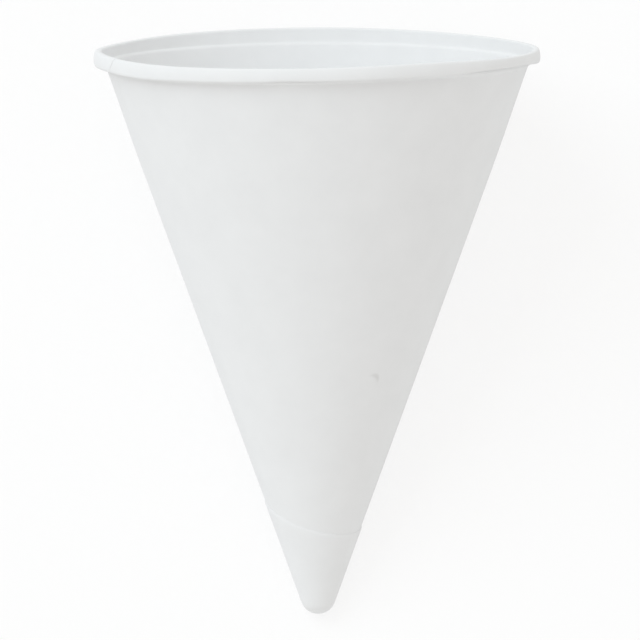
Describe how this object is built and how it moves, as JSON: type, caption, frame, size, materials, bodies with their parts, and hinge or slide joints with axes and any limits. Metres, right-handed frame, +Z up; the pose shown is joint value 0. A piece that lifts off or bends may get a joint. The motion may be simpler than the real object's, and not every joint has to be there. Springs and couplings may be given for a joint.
{
  "type": "cone paper cup",
  "caption": "Cone-shaped white paper cup for drinking water, wound from a sheet, with a rolled rim and a rounded, wrapped tip, lying on its side.",
  "frame": {"origin": "on the floor, under the middle of the lying cup", "axes": "+Z up, +Y along the floor towards the mouth; the cup's own axis leans 20.8 degrees up from +Y"},
  "size_m": [0.0714, 0.0974, 0.067],
  "materials": {
    "paper": "matte uncoated white paper"
  },
  "bodies": {
    "root": {"cone_cup": "paper"}
  },
  "joints": []
}
